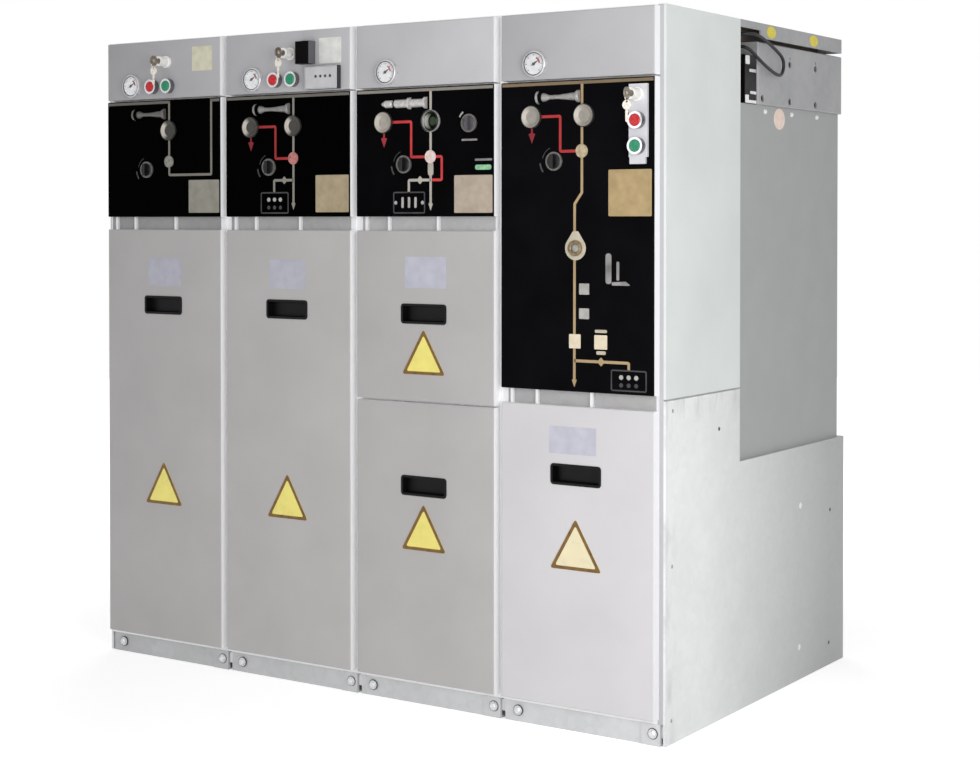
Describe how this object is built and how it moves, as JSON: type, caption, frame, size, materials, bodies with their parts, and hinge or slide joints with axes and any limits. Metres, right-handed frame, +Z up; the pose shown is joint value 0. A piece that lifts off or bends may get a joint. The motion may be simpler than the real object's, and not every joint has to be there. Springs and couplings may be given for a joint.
{
  "type": "solid insulated switchgear row",
  "caption": "Floor-standing medium-voltage switchgear row with black mimic panels, lift-off cable covers, push buttons, key switches and a low rear cable part.",
  "frame": {"origin": "on the floor, in the middle of the box round the row", "axes": "+X along the row to the right, +Y from front to back, +Z up"},
  "size_m": [1.709, 1.092, 1.635],
  "materials": {
    "zinc_sheet": "aluminium-zinc coated sheet, faint spangle",
    "end_paint": "pale powder coat",
    "cover_paint": "light grey powder coat, fine texture",
    "mimic_black": "black printed film over sheet, satin gloss",
    "module_grey": "flat grey paint",
    "black_plastic": "moulded black plastic",
    "gauge_black": "black case with a pale dial behind glass",
    "white_paint": "white paint",
    "display_frame": "satin aluminium frame",
    "bezel_chrome": "polished collar",
    "dark_ring": "dark grey moulded ring",
    "dark_knob": "black moulded grip",
    "cap_steel": "satin nickel-plated steel",
    "key_brass": "nickel-brass key",
    "red_plastic": "red moulded cap",
    "green_plastic": "green moulded cap",
    "lead_rubber": "black lead sheath"
  },
  "bodies": {
    "root": {"bay_housing_1": "zinc_sheet", "bay_housing_2": "zinc_sheet", "bay_housing_3": "zinc_sheet", "bay_housing_4": "zinc_sheet", "busbar_housing": "zinc_sheet", "button_bezels": "bezel_chrome", "control_strip": "white_paint", "cover_1": "cover_paint", "cover_2": "cover_paint", "cover_3_lower": "cover_paint", "cover_3_upper": "cover_paint", "cover_4": "cover_paint", "cover_pulls": "black_plastic", "cover_rails": "zinc_sheet", "display_unit": "display_frame", "gauges": "gauge_black", "instrument_panel_1": "cover_paint", "instrument_panel_2": "cover_paint", "instrument_panel_3": "cover_paint", "instrument_panel_4": "cover_paint", "insulated_module_1": "module_grey", "insulated_module_2": "module_grey", "insulated_module_3": "module_grey", "insulated_module_4": "module_grey", "interlock_bars": "cap_steel", "key_barrels": "bezel_chrome", "knob_rings": "dark_ring", "lead_loop": "lead_rubber", "left_busbar_end_pan": "zinc_sheet", "left_lower_end_sheet": "zinc_sheet", "left_upper_end_sheet": "end_paint", "lever_socket": "cap_steel", "mimic_panel_1": "mimic_black", "mimic_panel_2": "mimic_black", "mimic_panel_3": "mimic_black", "mimic_panel_4": "mimic_black", "plinth_rails": "zinc_sheet", "pocket_plugs": "black_plastic", "relay_box": "black_plastic", "right_busbar_end_pan": "zinc_sheet", "right_lower_end_sheet": "zinc_sheet", "right_upper_end_sheet": "end_paint", "roof_channel": "zinc_sheet", "shaft_caps": "cap_steel"},
    "green_button_1": {"green_button_1": "green_plastic"},
    "green_button_2": {"green_button_2": "green_plastic"},
    "green_button_4": {"green_button_4": "green_plastic"},
    "key_1": {"key_1": "key_brass"},
    "key_2": {"key_2": "key_brass"},
    "key_4": {"key_4": "key_brass"},
    "lock_knob_1": {"lock_knob_1": "dark_knob"},
    "lock_knob_2": {"lock_knob_2": "dark_knob"},
    "lock_knob_3": {"lock_knob_3": "dark_knob"},
    "lock_knob_4": {"lock_knob_4": "dark_knob"},
    "red_button_1": {"red_button_1": "red_plastic"},
    "red_button_2": {"red_button_2": "red_plastic"},
    "red_button_4": {"red_button_4": "red_plastic"},
    "selector_knob_3": {"selector_knob_3": "dark_knob"}
  },
  "joints": [
    {"name": "green_button_1_press", "type": "slide", "parent": "root", "child": "green_button_1", "axis": [0, 1, 0], "range_m": [0, 0.004], "stiffness_N_per_m": 600},
    {"name": "green_button_2_press", "type": "slide", "parent": "root", "child": "green_button_2", "axis": [0, 1, 0], "range_m": [0, 0.004], "stiffness_N_per_m": 600},
    {"name": "green_button_4_press", "type": "slide", "parent": "root", "child": "green_button_4", "axis": [0, 1, 0], "range_m": [0, 0.004], "stiffness_N_per_m": 600},
    {"name": "key_1_turn", "type": "hinge", "parent": "root", "child": "key_1", "pos_m": [-0.6154, -0.476, 1.57468], "axis": [0, 1, 0], "range_deg": [0, 90]},
    {"name": "key_2_turn", "type": "hinge", "parent": "root", "child": "key_2", "pos_m": [-0.1954, -0.476, 1.57468], "axis": [0, 1, 0], "range_deg": [0, 90]},
    {"name": "key_4_turn", "type": "hinge", "parent": "root", "child": "key_4", "pos_m": [0.7924, -0.476, 1.43722], "axis": [0, 1, 0], "range_deg": [0, 90]},
    {"name": "lock_knob_1_turn", "type": "hinge", "parent": "root", "child": "lock_knob_1", "pos_m": [-0.686, -0.476, 1.29394], "axis": [0, 1, 0], "range_deg": [0, 90]},
    {"name": "lock_knob_2_turn", "type": "hinge", "parent": "root", "child": "lock_knob_2", "pos_m": [-0.266, -0.476, 1.29394], "axis": [0, 1, 0], "range_deg": [0, 90]},
    {"name": "lock_knob_3_turn", "type": "hinge", "parent": "root", "child": "lock_knob_3", "pos_m": [0.154, -0.476, 1.29394], "axis": [0, 1, 0], "range_deg": [0, 90]},
    {"name": "lock_knob_4_turn", "type": "hinge", "parent": "root", "child": "lock_knob_4", "pos_m": [0.574, -0.476, 1.29394], "axis": [0, 1, 0], "range_deg": [0, 90]},
    {"name": "red_button_1_press", "type": "slide", "parent": "root", "child": "red_button_1", "axis": [0, 1, 0], "range_m": [0, 0.004], "stiffness_N_per_m": 600},
    {"name": "red_button_2_press", "type": "slide", "parent": "root", "child": "red_button_2", "axis": [0, 1, 0], "range_m": [0, 0.004], "stiffness_N_per_m": 600},
    {"name": "red_button_4_press", "type": "slide", "parent": "root", "child": "red_button_4", "axis": [0, 1, 0], "range_m": [0, 0.004], "stiffness_N_per_m": 600},
    {"name": "selector_knob_3_turn", "type": "hinge", "parent": "root", "child": "selector_knob_3", "pos_m": [0.3416, -0.476, 1.38712], "axis": [0, 1, 0], "range_deg": [0, 90]}
  ]
}
